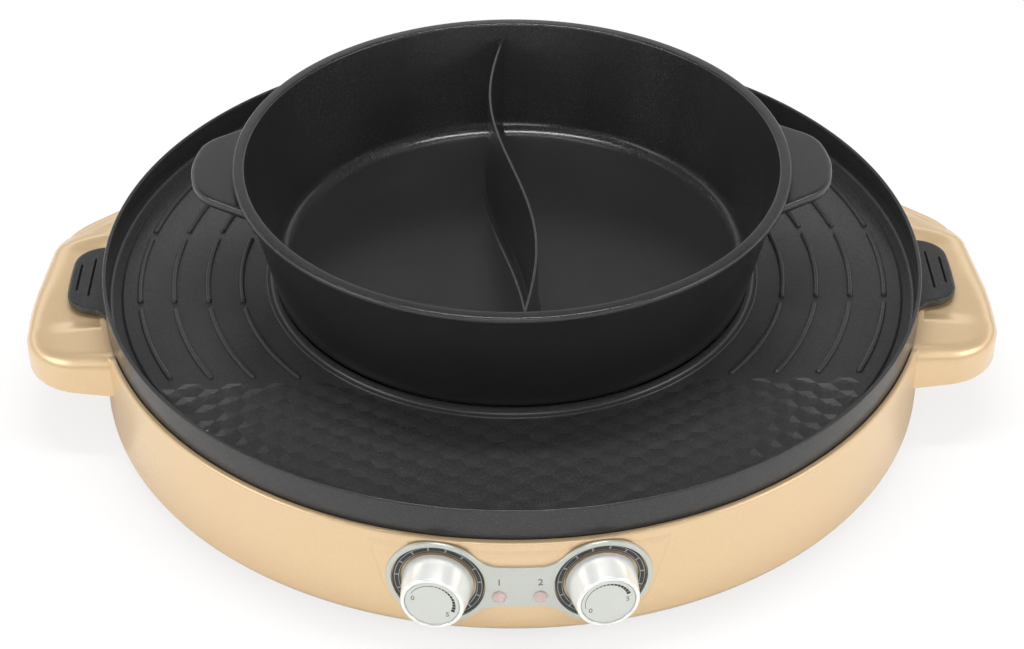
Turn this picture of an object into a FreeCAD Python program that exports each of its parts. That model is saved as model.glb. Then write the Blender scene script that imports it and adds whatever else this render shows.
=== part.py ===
import FreeCAD, Part
import math
import os
from FreeCAD import Placement, Rotation, Vector

# Round countertop cooker: a wide grill pan lies in a shallow round base, and a pot with an S-shaped
# divider stands on a hotplate in the middle. Millimetres, +Z up, the front with its two knobs is at -Y.
# The origin is on the table, under the centre of the base.

# Running and seating clearances
ring_clearance = 0.3
fit_clearance = 0.05
inset_clearance = 0.25
drop_clearance = 1.2

# Base housing: one moulded ring with its two lug handles
foot_height = 5.8
housing_height = 53.7
housing_wall = 2.7
housing_corner = 5.0
foot_edge_width = 1.5
ledge_width = 5.0
ledge_depth = 6.0
post_width = 10.0
post_reach = 12.0
post_angles = (20.0, 65.0, 115.0, 160.0, 235.0, 305.0)

# Lug handles
lug_reach = 35.7
lug_root_half = 69.5
lug_root_depth = 20.0
lug_shoulder_half = 60.0
lug_shoulder_inset = 2.5
lug_corner = 30.0
lug_sweep = 300.0
lug_thickness = 19.0
lug_below_rim = 7.0
lug_chamfer = 4.0
lug_wall = 3.5

# Grill pan
pan_radius = 205.0
pan_height = 19.3
pan_rim_wall = 2.0
pan_sink = 3.5
grill_depth = 13.6
gutter_width = 6.3
gutter_drop = 1.7
collar_radius = 118.9
collar_width = 4.4
collar_rise = 3.6

# Ribs on the grill floor, in concentric rows on each side
rib_rows = 4
rib_collar_gap = 13.7
rib_gutter_gap = 9.3
rib_width = 3.0
rib_height = 1.6
rib_zone_half = 91.0
rib_segments = 3
rib_gap = 5.0

# Ears of the grill pan
ear_reach = 19.6
ear_half_width = 27.0
ear_corner = 17.0
ear_thickness = 4.0
ear_below_rim = 17.3
ear_slot_width = 1.6
ear_slot_depth = 1.2
outer_slot_inset = 4.1
outer_slot_length = 23.0
inner_slot_inset = 10.6
inner_slot_length = 33.0

# Pot
pot_base_radius = 118.9
pot_taper = 0.23
pot_height = 65.3
pot_wall = 2.8
pot_floor = 6.5
pot_foot_chamfer = 4.5
lip_radius = 137.1
lip_thickness = 3.2
pot_ear_reach = 159.0
pot_ear_half_width = 36.0
pot_ear_tip_half = 27.0
pot_ear_shoulder = 4.0
pot_ear_corner = 14.0
pot_ear_sweep = 60.0
pot_ear_thickness = 5.5
pot_ear_drop = 2.3

# Divider wall of the pot, an S of two arcs seen from above
divider_drop = 6.5
divider_swing = 8.9
divider_wave = 128.0
divider_slant = 0.0207
divider_width = 2.0
divider_foot_width = 4.6
divider_foot_height = 2.0

# Hotplate under the pot, with its heater cast in
hotplate_radius = 108.0
hotplate_thickness = 9.0
hotplate_lift = 8.0
cast_heater_radius = 74.0
cast_heater_half_angle = 12.0
terminal_radius = 3.0
terminal_below = 6.0
pillar_circle = 52.0
pillar_across = 9.0
pillar_count = 3

# Grill heater under the pan, pressed flat on top
grill_heater_radius = 158.0
heater_top_width = 8.0
heater_foot_width = 4.5
heater_height = 5.5
heater_gap_half_angle = 10.0
heater_leg_radius = 3.2
heater_leg_inset = 1.6
clip_angles = (0.0, 90.0, 180.0)
clip_angle = 3.0
clip_sheet = 1.2
clip_foot = 3.5
clip_play = 0.5

# Reflector plate below both heaters
reflector_sheet = 1.0
reflector_drop = 8.0
leg_opening = 11.0

# Bottom cover
cover_sheet = 1.2
vent_count = 12
vent_inner = 60.0
vent_length = 34.0
vent_width = 4.0

# Feet
foot_count = 4
foot_circle = 174.0
foot_radius = 11.0

# Control panel
dial_height = 35.5
dial_angle = 10.0
plate_end_radius = 23.3
plate_waist_half = 11.5
plate_blend = 16.0
plate_proud = 1.2
fascia_proud = 1.0
fascia_bed = 1.2
fascia_margin = 2.0
fascia_top_half = 68.5
dial_ring_outer = 20.6
dial_ring_inner = 17.3
dial_ring_thickness = 1.2
dial_pocket = 1.6

# Knobs
knob_base_radius = 16.5
knob_face_radius = 14.1
knob_length = 15.0
knob_rim = 1.8
knob_grip_depth = 11.0
cap_thickness = 1.0
cap_sink = 0.5

# Thermostats behind the knobs
bush_radius = 4.8
bush_bore = 3.1
bush_proud = 1.0
shaft_radius = 3.0
shaft_flat = 0.8
shaft_in_bush = 4.0
thermostat_width = 24.0
thermostat_height = 22.0
thermostat_depth = 18.0
yoke_sheet = 1.2
yoke_width = 32.0
yoke_gap = 1.6
tag_width = 4.8
tag_length = 7.0
tag_sheet = 0.8
tag_spread = 6.0

# Pilot lamps
lamp_angle = 2.5
lamp_height = 29.8
lens_radius = 3.3
lens_proud = 1.4
holder_width = 8.4
holder_length = 15.0
holder_tag_spread = 2.2
holder_tag_length = 6.0

# Power inlet at the back
inlet_height = 33.0
inlet_boss_width = 46.0
inlet_boss_height = 28.0
inlet_boss_proud = 7.0
inlet_width = 27.0
inlet_body_height = 19.6
inlet_depth = 18.0
inlet_flange_width = 44.0
inlet_flange_height = 24.0
inlet_flange = 2.4
inlet_socket_width = 24.2
inlet_socket_height = 16.4
inlet_socket_depth = 15.5
inlet_socket_chamfer = 5.0
inlet_pin_length = 11.0
inlet_tag_length = 7.0
inlet_pin_width = 4.0
inlet_pin_thickness = 2.0
inlet_pin_pitch = 7.0
inlet_earth_rise = 2.0

# Levels and radii that follow from the sizes above
cover_base = foot_height
cover_top = cover_base + cover_sheet
rim_level = foot_height + housing_height
housing_inside = pan_radius + ring_clearance
housing_radius = housing_inside + housing_wall
foot_edge_inner = housing_radius - housing_corner - foot_edge_width
pan_seat = rim_level - pan_sink
pan_rim = pan_seat + pan_height
grill_floor = pan_rim - grill_depth
gutter_floor = grill_floor - gutter_drop
collar_top = grill_floor + collar_rise
pan_inside = pan_radius - pan_rim_wall
grill_radius = pan_inside - gutter_width
rib_first_radius = collar_radius + collar_width + rib_collar_gap
rib_pitch = (grill_radius - rib_gutter_gap - rib_first_radius) / (rib_rows - 1)
ledge_inner = housing_inside - ledge_width
lug_top = rim_level - lug_below_rim
lug_base = lug_top - lug_thickness
reflector_top = pan_seat - reflector_drop
reflector_base = reflector_top - reflector_sheet
reflector_radius = ledge_inner - drop_clearance
heater_top = pan_seat - ring_clearance
heater_base = heater_top - heater_height
ear_top = pan_rim - ear_below_rim
ear_base = ear_top - ear_thickness
hotplate_top = pan_seat + hotplate_lift
hotplate_base = hotplate_top - hotplate_thickness
pot_base = hotplate_top
pot_top = pot_base + pot_height
fascia_radius = housing_radius + fascia_proud
plate_radius = fascia_radius + plate_proud
bed_radius = housing_radius - fascia_bed
dial_offset = housing_radius * math.sin(math.radians(dial_angle))
pocket_floor = fascia_radius - dial_pocket
knob_back = fascia_radius
knob_front = knob_back + knob_length
cap_seat = knob_front - cap_sink - cap_thickness
thermostat_front = housing_inside - yoke_gap
tag_depth = thermostat_front - yoke_sheet - thermostat_depth / 2
lens_back = housing_inside - ring_clearance
inlet_face = housing_radius + inlet_boss_proud + inlet_flange


def side(a, b):
    """A point of a profile: a is the distance from the axis, b the height."""
    return Vector(a, 0, b)


def plan(a, b):
    """A point of an outline seen from above."""
    return Vector(a, b, 0)


def rounded_wire(corners, place):
    """Closed wire through corners (a, b) or (a, b, radius), with an arc at each corner that has one."""
    count = len(corners)
    ends = []
    for i in range(count):
        before = Vector(*corners[i - 1][:2], 0)
        here = Vector(*corners[i][:2], 0)
        after = Vector(*corners[(i + 1) % count][:2], 0)
        radius = corners[i][2] if len(corners[i]) > 2 else 0.0
        if radius <= 0:
            ends.append((here, None, here))
            continue
        back = (before - here).normalize()
        ahead = (after - here).normalize()
        half = back.getAngle(ahead) / 2
        middle = (back + ahead).normalize()
        setback = radius / math.tan(half)
        arc_point = here + middle * (radius / math.sin(half) - radius)
        ends.append((here + back * setback, arc_point, here + ahead * setback))
    edges = []
    for i in range(count):
        start, arc_point, stop = ends[i]
        if arc_point is not None:
            edges.append(Part.Arc(place(start.x, start.y), place(arc_point.x, arc_point.y),
                                  place(stop.x, stop.y)).toShape())
        following = ends[(i + 1) % count][0]
        if (following - stop).Length > 1e-6:
            edges.append(Part.LineSegment(place(stop.x, stop.y),
                                          place(following.x, following.y)).toShape())
    return Part.Wire(edges)


def cut_corners(corners):
    """Corner list in which each corner (a, b, leg) is cut by a straight chamfer of that leg."""
    count = len(corners)
    points = []
    for i in range(count):
        here = Vector(*corners[i][:2], 0)
        if len(corners[i]) < 3:
            points.append(here)
            continue
        for beside in (corners[i - 1], corners[(i + 1) % count]):
            toward = (Vector(*beside[:2], 0) - here).normalize()
            points.append(here + toward * corners[i][2])
    return [(point.x, point.y) for point in points]


def turned(corners, angle=360.0):
    """Solid turned about the Z axis from a closed profile, whose corners may be chamfered."""
    face = Part.Face(rounded_wire(cut_corners(corners), side))
    return face.revolve(Vector(0, 0, 0), Vector(0, 0, 1), angle)


def slab(corners, low, high):
    """Upright slab between two heights, from an outline seen from above."""
    wire = rounded_wire(corners, plan)
    wire.translate(Vector(0, 0, low))
    return Part.Face(wire).extrude(Vector(0, 0, high - low))


def upright_cylinder(radius, low, high, x=0.0, y=0.0):
    """Cylinder on a vertical axis between two heights."""
    return Part.makeCylinder(radius, high - low, Vector(x, y, low))


def tube(outer, inner, low, high):
    """Pipe about the Z axis between two heights."""
    return upright_cylinder(outer, low, high).cut(upright_cylinder(inner, low - 1, high + 1))


def turned_about(shape, angle):
    """Copy of a shape, turned about the Z axis."""
    copy = shape.copy()
    copy.rotate(Vector(0, 0, 0), Vector(0, 0, 1), angle)
    return copy


def mirrored(shape):
    """Copy of a shape on the other side of the YZ plane."""
    return shape.mirror(Vector(0, 0, 0), Vector(1, 0, 0))


def outward(shape, angle, height):
    """Shape built along +Z from the cooker's axis, laid down to point outwards at an angle from the front."""
    copy = shape.copy()
    turn = Rotation(Vector(0, 0, 1), angle).multiply(Rotation(Vector(1, 0, 0), 90))
    copy.Placement = Placement(Vector(0, 0, height), turn).multiply(copy.Placement)
    return copy


def disc(radius, low, high, x=0.0, y=0.0):
    """Cylinder along the local outward axis."""
    return Part.makeCylinder(radius, high - low, Vector(x, y, low))


def block(width, height, low, high, x=0.0, y=0.0):
    """Block along the local outward axis, centred on it."""
    return Part.makeBox(width, height, high - low, Vector(x - width / 2, y - height / 2, low))


def polar(radius, angle):
    """Point at a radius and an angle from +X, in degrees."""
    return radius * math.cos(math.radians(angle)), radius * math.sin(math.radians(angle))


# Base housing


def lug_outline(inset):
    """Outline of the right lug handle from above, drawn in by an inset."""
    tip = housing_radius + lug_reach - inset
    root = housing_radius - lug_root_depth
    return [(root, -lug_root_half + inset),
            (tip - lug_shoulder_inset, -lug_shoulder_half + inset, lug_corner - inset),
            (tip, 0, lug_sweep),
            (tip - lug_shoulder_inset, lug_shoulder_half - inset, lug_corner - inset),
            (root, lug_root_half - inset)]


def lug_handle():
    """Right lug handle: a shell with chamfered edges, open underneath for the fingers."""
    body = slab(lug_outline(0.0), lug_base, lug_top)
    rims = [edge for edge in body.Edges
            if edge.BoundBox.ZLength < 0.01 and edge.BoundBox.XMax > housing_radius]
    body = body.makeChamfer(lug_chamfer, rims)
    body = body.cut(upright_cylinder(housing_radius - housing_wall / 2, lug_base - 1, lug_top + 1))
    hollow = slab(lug_outline(lug_wall), lug_base - 1, lug_top - lug_wall)
    hollow = hollow.cut(upright_cylinder(housing_radius + lug_wall, lug_base - 2, lug_top + 1))
    return body.cut(hollow)


def ear_notch():
    """Notch in the rim of the housing that the right ear of the pan passes through."""
    half = ear_half_width + drop_clearance
    return Part.makeBox(housing_wall + ledge_width + 4, 2 * half, rim_level - ear_base + 10,
                        Vector(ledge_inner - 2, -half, ear_base - ring_clearance))


def outer_profile():
    """Profile of the housing: foot edge, wall, rim and the slanted ledge that the pan sits on."""
    return [(foot_edge_inner, cover_base),
            (housing_radius - housing_corner, cover_base),
            (housing_radius, cover_base + housing_corner),
            (housing_radius, rim_level),
            (housing_inside, rim_level),
            (housing_inside, pan_seat),
            (ledge_inner, pan_seat),
            (housing_inside, pan_seat - ledge_depth),
            (housing_inside, cover_base + housing_corner + foot_edge_width)]


def screw_post(angle):
    """Post inside the wall, between the bottom cover and the reflector plate that it carries."""
    post = Part.makeBox(post_reach + housing_wall / 2, post_width, reflector_base - cover_top,
                        Vector(housing_inside - post_reach, -post_width / 2, cover_top))
    inside_of_wall = turned([(0, cover_base)] + outer_profile()[1:4] + [(0, rim_level)])
    return turned_about(post, angle).common(inside_of_wall)


def inlet_boss():
    """Flat boss on the back of the housing that the power inlet is set in."""
    return block(inlet_boss_width, inlet_boss_height, housing_inside - housing_wall,
                 housing_radius + inlet_boss_proud)


def base_housing():
    ring = turned(outer_profile())
    lug = lug_handle()
    boss = outward(inlet_boss(), 180, inlet_height)
    posts = [screw_post(angle) for angle in post_angles]
    body = ring.multiFuse([lug, mirrored(lug), boss] + posts)
    cuts = [ear_notch(), mirrored(ear_notch())]
    cuts.append(fascia_outline_solid(inset_clearance).common(
        tube(housing_radius + 20, bed_radius, cover_base, rim_level + 20)))
    for sign in (-1, 1):
        cuts.append(outward(disc(bush_radius + inset_clearance, housing_inside - 10, housing_radius),
                            sign * dial_angle, dial_height))
        cuts.append(outward(disc(lens_radius + inset_clearance, housing_inside - 10, housing_radius),
                            sign * lamp_angle, lamp_height))
    cuts.append(outward(block(inlet_width + 2 * inset_clearance, inlet_body_height + 2 * inset_clearance,
                              housing_inside - 30, housing_radius + 10), 180, inlet_height))
    return body.cut(cuts)


# Control panel


def dumbbell_wire(end_radius, waist_half, blend):
    """Outline of two discs joined by a waist, with hollow blends, about the middle of the panel."""
    run = end_radius + blend
    rise = waist_half + blend
    blend_x = dial_offset - math.sqrt(run * run - rise * rise)
    touch_x = dial_offset - (dial_offset - blend_x) * end_radius / run
    touch_z = rise * end_radius / run
    waist_turn = Vector(touch_x - blend_x, 0, touch_z - rise).normalize() + Vector(0, 0, -1)
    waist_turn = waist_turn.normalize() * blend

    def at(x, z):
        return Vector(x, 0, dial_height + z)

    edges = []
    for sx in (1, -1):
        edges.append(Part.Arc(at(sx * touch_x, touch_z), at(sx * (dial_offset + end_radius), 0),
                              at(sx * touch_x, -touch_z)).toShape())
        for sz in (1, -1):
            edges.append(Part.Arc(at(sx * touch_x, sz * touch_z),
                                  at(sx * (blend_x + waist_turn.x), sz * (rise + waist_turn.z)),
                                  at(sx * blend_x, sz * waist_half)).toShape())
    for sz in (1, -1):
        edges.append(Part.LineSegment(at(-blend_x, sz * waist_half), at(blend_x, sz * waist_half)).toShape())
    return Part.Wire(Part.__sortEdges__(edges))


def forward_prism(wire):
    """Prism from an outline seen from the front, reaching forward past the panel."""
    return Part.Face(wire).extrude(Vector(0, -housing_radius - 40, 0))


def fascia_outline_solid(margin):
    """Prism of the front piece: hugs the dials below and widens to the rim above."""
    end_radius = plate_end_radius + fascia_margin + margin
    lower = forward_prism(dumbbell_wire(end_radius, plate_waist_half + fascia_margin + margin,
                                        plate_blend - fascia_margin - margin))
    top = rim_level - dial_height + 1.0
    top_half = fascia_top_half + margin
    reach = math.hypot(top_half - dial_offset, top)
    lean = math.atan2(top_half - dial_offset, top)
    open_angle = math.acos(end_radius / reach)
    touch = lean + open_angle
    touch_x = dial_offset + end_radius * math.sin(touch)
    touch_z = end_radius * math.cos(touch)
    upper_points = [Vector(top_half, 0, dial_height + top),
                    Vector(touch_x, 0, dial_height + touch_z),
                    Vector(dial_offset, 0, dial_height),
                    Vector(-dial_offset, 0, dial_height),
                    Vector(-touch_x, 0, dial_height + touch_z),
                    Vector(-top_half, 0, dial_height + top)]
    upper_points.append(upper_points[0])
    return lower.fuse(forward_prism(Part.makePolygon(upper_points)))


def panel_cuts(low):
    """What goes through the panel: dial pockets, thermostat bushes and lamp lenses."""
    cuts = []
    for sign in (-1, 1):
        pocket = disc(dial_ring_outer + inset_clearance, pocket_floor, fascia_radius + 10)
        bush = disc(bush_radius + inset_clearance, low, fascia_radius)
        cuts.append(outward(pocket.fuse(bush), sign * dial_angle, dial_height))
        cuts.append(outward(disc(lens_radius + fit_clearance, low, fascia_radius + 10),
                            sign * lamp_angle, lamp_height))
    return cuts


def control_fascia():
    shell = tube(fascia_radius, bed_radius + fit_clearance, cover_base + 1, rim_level)
    piece = fascia_outline_solid(0.0).common(shell)
    return piece.cut(panel_cuts(bed_radius - 5))


def dial_plate():
    shell = tube(plate_radius, fascia_radius + fit_clearance / 2, cover_base, rim_level)
    piece = forward_prism(dumbbell_wire(plate_end_radius, plate_waist_half, plate_blend)).common(shell)
    return piece.cut(panel_cuts(fascia_radius - 5))


def dial_ring():
    top = pocket_floor + dial_ring_thickness
    return turned([(dial_ring_inner, pocket_floor), (dial_ring_outer, pocket_floor),
                   (dial_ring_outer, top), (dial_ring_inner, top)])


def knob():
    """Tapered knob with a raised rim round its face and a bore for the shaft."""
    recess_radius = knob_face_radius - knob_rim
    body = turned([(0, cap_seat), (recess_radius, cap_seat), (recess_radius, knob_front),
                   (knob_face_radius, knob_front), (knob_base_radius, knob_back), (0, knob_back)])
    return body.cut(shaft(fit_clearance))


def shaft(margin=0.0):
    """Thermostat shaft with a flat along it that the knob grips."""
    end = knob_back + knob_grip_depth + margin
    radius = shaft_radius + margin
    flat_start = pocket_floor + bush_proud + fit_clearance
    rod = disc(radius, flat_start - shaft_in_bush, end)
    flat = block(2 * radius + 2, 2 * radius, flat_start, end + 1, 0.0, 2 * radius - shaft_flat)
    return rod.cut(flat)


def knob_cap():
    radius = knob_face_radius - knob_rim - fit_clearance
    return disc(radius, cap_seat, cap_seat + cap_thickness)


def thermostat():
    """Thermostat: a moulded body on a steel yoke, with a bush through the housing wall."""
    yoke_back = thermostat_front - yoke_sheet
    yoke = block(yoke_width, thermostat_height, yoke_back, thermostat_front)
    body = block(thermostat_width, thermostat_height, yoke_back - thermostat_depth, yoke_back)
    bush = disc(bush_radius, thermostat_front, pocket_floor + bush_proud)
    tags = [block(tag_width, tag_length, tag_depth, tag_depth + tag_sheet, x,
                  -(thermostat_height + tag_length) / 2) for x in (-tag_spread, tag_spread)]
    piece = yoke.multiFuse([body, bush] + tags)
    bore = disc(bush_bore, pocket_floor + bush_proud - shaft_in_bush - 1, pocket_floor + bush_proud + 1)
    return piece.cut(bore)


def lamp_lens():
    """Clear lens pushed through the wall and the panel."""
    return disc(lens_radius, lens_back, plate_radius + lens_proud)


def lamp_holder():
    """Neon lamp holder behind the lens, with two tags."""
    back = lens_back - holder_length
    body = block(holder_width, holder_width, back, lens_back)
    tags = [block(0.8, 3.0, back - holder_tag_length, back, x)
            for x in (-holder_tag_spread, holder_tag_spread)]
    return body.multiFuse(tags)


# Power inlet


def power_inlet():
    face = inlet_face
    flange = block(inlet_flange_width, inlet_flange_height, face - inlet_flange, face)
    body = block(inlet_width, inlet_body_height, face - inlet_depth, face - inlet_flange)
    half_w = inlet_socket_width / 2
    half_h = inlet_socket_height / 2
    outline = cut_corners([(-half_w, -half_h), (half_w, -half_h), (half_w, half_h, inlet_socket_chamfer),
                           (-half_w, half_h, inlet_socket_chamfer)])
    socket = slab(outline, face - inlet_socket_depth, face + 1)
    pins = [inlet_pin(x, y, fit_clearance) for x, y in inlet_pin_places()]
    return outward(flange.fuse(body).cut([socket] + pins), 180, inlet_height)


def inlet_pin_places():
    """Places of the three pins: line, neutral, and earth above them."""
    return ((-inlet_pin_pitch, -inlet_earth_rise), (inlet_pin_pitch, -inlet_earth_rise),
            (0.0, inlet_earth_rise))


def inlet_pin(x, y, margin=0.0):
    """Flat pin with a tag behind the socket."""
    face = inlet_face
    floor = face - inlet_socket_depth
    return block(inlet_pin_thickness + 2 * margin, inlet_pin_width + 2 * margin,
                 face - inlet_depth - inlet_tag_length, floor + inlet_pin_length, x, y)


def inlet_pins():
    return Part.Compound([outward(inlet_pin(x, y), 180, inlet_height) for x, y in inlet_pin_places()])


# Grill pan


def pan_profile():
    """Profile of the pan: flat underside, wall, rim, gutter, grill floor and collar."""
    return [(pan_radius, pan_seat),
            (pan_radius, pan_rim),
            (pan_inside, pan_rim),
            (pan_inside, gutter_floor),
            (grill_radius, gutter_floor),
            (grill_radius - gutter_drop / 2, grill_floor),
            (collar_radius + collar_width, grill_floor),
            (collar_radius + collar_width, collar_top),
            (collar_radius, collar_top),
            (collar_radius, pan_seat)]


def rib(radius, low, high):
    """One rib: an arc of its row between two distances from the X axis."""
    start = math.asin(low / radius)
    stop = math.asin(high / radius)

    def at(reach, angle):
        return Vector(reach * math.cos(angle), reach * math.sin(angle), grill_floor - rib_height)

    inner = radius - rib_width / 2
    outer = radius + rib_width / 2
    middle = (start + stop) / 2
    edges = [Part.Arc(at(inner, start), at(inner, middle), at(inner, stop)).toShape(),
             Part.LineSegment(at(inner, stop), at(outer, stop)).toShape(),
             Part.Arc(at(outer, stop), at(outer, middle), at(outer, start)).toShape(),
             Part.LineSegment(at(outer, start), at(inner, start)).toShape()]
    return Part.Face(Part.Wire(edges)).extrude(Vector(0, 0, 2 * rib_height))


def ribs():
    """All ribs of the right side: rows of segments between straight gaps."""
    length = (2 * rib_zone_half - (rib_segments - 1) * rib_gap) / rib_segments
    pieces = []
    for row in range(rib_rows):
        radius = rib_first_radius + row * rib_pitch
        for k in range(rib_segments):
            low = -rib_zone_half + k * (length + rib_gap)
            pieces.append(rib(radius, low, low + length))
    return pieces


def pan_ear():
    """Right ear of the pan: a flat rounded tab with two grip slots across it."""
    tip = pan_radius + ear_reach
    root = pan_radius - pan_rim_wall
    tab = slab([(root, -ear_half_width), (tip, -ear_half_width, ear_corner),
                (tip, ear_half_width, ear_corner), (root, ear_half_width)], ear_base, ear_top)
    slots = []
    for inset, length in ((outer_slot_inset, outer_slot_length), (inner_slot_inset, inner_slot_length)):
        slots.append(Part.makeBox(ear_slot_width, length, ear_slot_depth + 1,
                                  Vector(tip - inset - ear_slot_width / 2, -length / 2,
                                         ear_top - ear_slot_depth)))
    return tab.cut(slots)


def grill_pan():
    dish = turned(pan_profile())
    right = ribs() + [pan_ear()]
    left = [mirrored(piece) for piece in right]
    return dish.multiFuse(right + left)


# Pot


def pot_outer(height):
    """Outer radius of the pot's wall at a height above its base."""
    return pot_base_radius + pot_taper * height


def inner_corners():
    """Inside of the pot, from its floor to its mouth."""
    return [(0, pot_base + pot_floor),
            (pot_outer(pot_floor) - pot_wall, pot_base + pot_floor),
            (pot_outer(pot_height) - pot_wall, pot_top)]


def pot_profile():
    """Profile of the pot: base, tapered wall and flat lip."""
    lip_base = pot_height - lip_thickness
    floor, corner, mouth = inner_corners()
    return [(0, pot_base),
            (pot_outer(0), pot_base, pot_foot_chamfer),
            (pot_outer(lip_base), pot_base + lip_base),
            (lip_radius, pot_base + lip_base),
            (lip_radius, pot_top),
            mouth, corner, floor]


def pot_ear():
    """Right ear of the pot: a flat rounded tab just under the lip."""
    top = pot_top - lip_thickness - pot_ear_drop
    root = pot_base_radius
    shoulder = pot_ear_reach - pot_ear_shoulder
    return slab([(root, -pot_ear_half_width), (shoulder, -pot_ear_tip_half, pot_ear_corner),
                 (pot_ear_reach, 0, pot_ear_sweep),
                 (shoulder, pot_ear_tip_half, pot_ear_corner), (root, pot_ear_half_width)],
                top - pot_ear_thickness, top)


def hot_pot():
    bowl = turned(pot_profile())
    inside = turned(inner_corners() + [(0, pot_top)])
    ear = pot_ear().cut(inside)
    return bowl.multiFuse([ear, mirrored(ear)])


def divider_middle(y):
    """Sideways place of the divider's middle line at the points where its two arcs are laid."""
    return -(divider_swing * math.sin(math.pi * y / divider_wave) + divider_slant * y)


def divider_wall(width, low, high):
    """Upright wall between two heights, with two arcs on each side, half a width off the middle line."""
    stations = [divider_wave * k / 2 for k in (-2, -1, 0, 1, 2)]
    edges = []
    ends = []
    for offset in (width / 2, -width / 2):
        points = [Vector(divider_middle(y) + offset, y, low) for y in stations]
        edges.append(Part.Arc(*points[:3]).toShape())
        edges.append(Part.Arc(*points[2:]).toShape())
        ends.append((points[0], points[-1]))
    edges.append(Part.LineSegment(ends[0][1], ends[1][1]).toShape())
    edges.append(Part.LineSegment(ends[1][0], ends[0][0]).toShape())
    outline = Part.Wire(Part.__sortEdges__(edges))
    return Part.Face(outline).extrude(Vector(0, 0, high - low))


def pot_divider():
    floor = pot_base + pot_floor
    wall = divider_wall(divider_width, floor, pot_top - divider_drop)
    foot = divider_wall(divider_foot_width, floor, floor + divider_foot_height)
    return wall.fuse(foot).common(turned(inner_corners() + [(0, pot_top)]))


# Hotplate and grill heater


def around(radius, count, first):
    """Points spaced evenly round the Z axis."""
    return [polar(radius, first + 360 / count * k) for k in range(count)]


def hotplate():
    """Cast round plate that the pot stands on."""
    return upright_cylinder(hotplate_radius, hotplate_base, hotplate_top)


def hotplate_terminals():
    """The two cold ends of the heater cast in the plate, down through the reflector plate."""
    return Part.Compound([upright_cylinder(terminal_radius, reflector_base - terminal_below, hotplate_base,
                                           *polar(cast_heater_radius, 90 + sign * cast_heater_half_angle))
                          for sign in (-1, 1)])


def hotplate_pillars():
    """Hexagonal pillars between the reflector plate and the hotplate."""
    corner = pillar_across / 2 / math.cos(math.radians(30))
    pillars = []
    for x, y in around(pillar_circle, pillar_count, 30):
        outline = [(x + px, y + py) for px, py in around(corner, 6, 0)]
        pillars.append(slab(outline, reflector_top, hotplate_base))
    return Part.Compound(pillars)


def grill_heater():
    """Open heater ring, pressed flat on top, with a leg down at each end."""
    top = heater_top_width / 2
    foot = heater_foot_width / 2
    middle = grill_heater_radius
    ring = turned([(middle - top, heater_top), (middle - foot, heater_base),
                   (middle + foot, heater_base), (middle + top, heater_top)],
                  360 - 2 * heater_gap_half_angle)
    ring = turned_about(ring, 90 + heater_gap_half_angle)
    legs = [upright_cylinder(heater_leg_radius, reflector_base - terminal_below,
                             heater_base + heater_height / 2,
                             *polar(middle, 90 + sign * (heater_gap_half_angle + heater_leg_inset)))
            for sign in (-1, 1)]
    return ring.multiFuse(legs)


def heater_clips():
    """Sheet saddles on the reflector plate that hold the grill heater up."""
    clips = []
    low = reflector_top
    inner = grill_heater_radius - heater_foot_width / 2 - clip_play
    outer = grill_heater_radius + heater_foot_width / 2 + clip_play
    for angle in clip_angles:
        strip = turned([(inner - clip_foot, low), (inner, low), (inner, heater_base - clip_sheet),
                        (outer, heater_base - clip_sheet), (outer, low), (outer + clip_foot, low),
                        (outer + clip_foot, low + clip_sheet / 2), (outer + clip_sheet, low + clip_sheet / 2),
                        (outer + clip_sheet, heater_base), (inner - clip_sheet, heater_base),
                        (inner - clip_sheet, low + clip_sheet / 2), (inner - clip_foot, low + clip_sheet / 2)],
                       clip_angle)
        clips.append(turned_about(strip, angle - clip_angle / 2))
    return Part.Compound(clips)


# Reflector plate, cover and feet


def reflector_plate():
    """Flat sheet plate under both heaters, screwed on the posts of the housing."""
    plate = upright_cylinder(reflector_radius, reflector_base, reflector_top)
    openings = []
    for radius, angle in ((grill_heater_radius, heater_gap_half_angle + heater_leg_inset),
                          (cast_heater_radius, cast_heater_half_angle)):
        for sign in (-1, 1):
            x, y = polar(radius, 90 + sign * angle)
            openings.append(Part.makeBox(leg_opening, leg_opening, reflector_sheet + 2,
                                         Vector(x - leg_opening / 2, y - leg_opening / 2,
                                                reflector_base - 1)))
    return plate.cut(openings)


def bottom_cover():
    """Flat cover inside the foot edge of the housing, with radial vent slots."""
    sheet = upright_cylinder(foot_edge_inner - ring_clearance, cover_base, cover_top)
    vent = Part.makeBox(vent_length, vent_width, cover_sheet + 2,
                        Vector(vent_inner, -vent_width / 2, cover_base - 1))
    return sheet.cut([turned_about(vent, 360 / vent_count * k) for k in range(vent_count)])


def rubber_feet():
    """Round rubber pads under the cover."""
    return Part.Compound([upright_cylinder(foot_radius, 0, cover_base, x, y)
                          for x, y in around(foot_circle, foot_count, 45)])


def pair(piece, angle, height):
    """Two copies of a panel piece, one on each side."""
    return Part.Compound([outward(piece, sign * angle, height) for sign in (-1, 1)])


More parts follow.
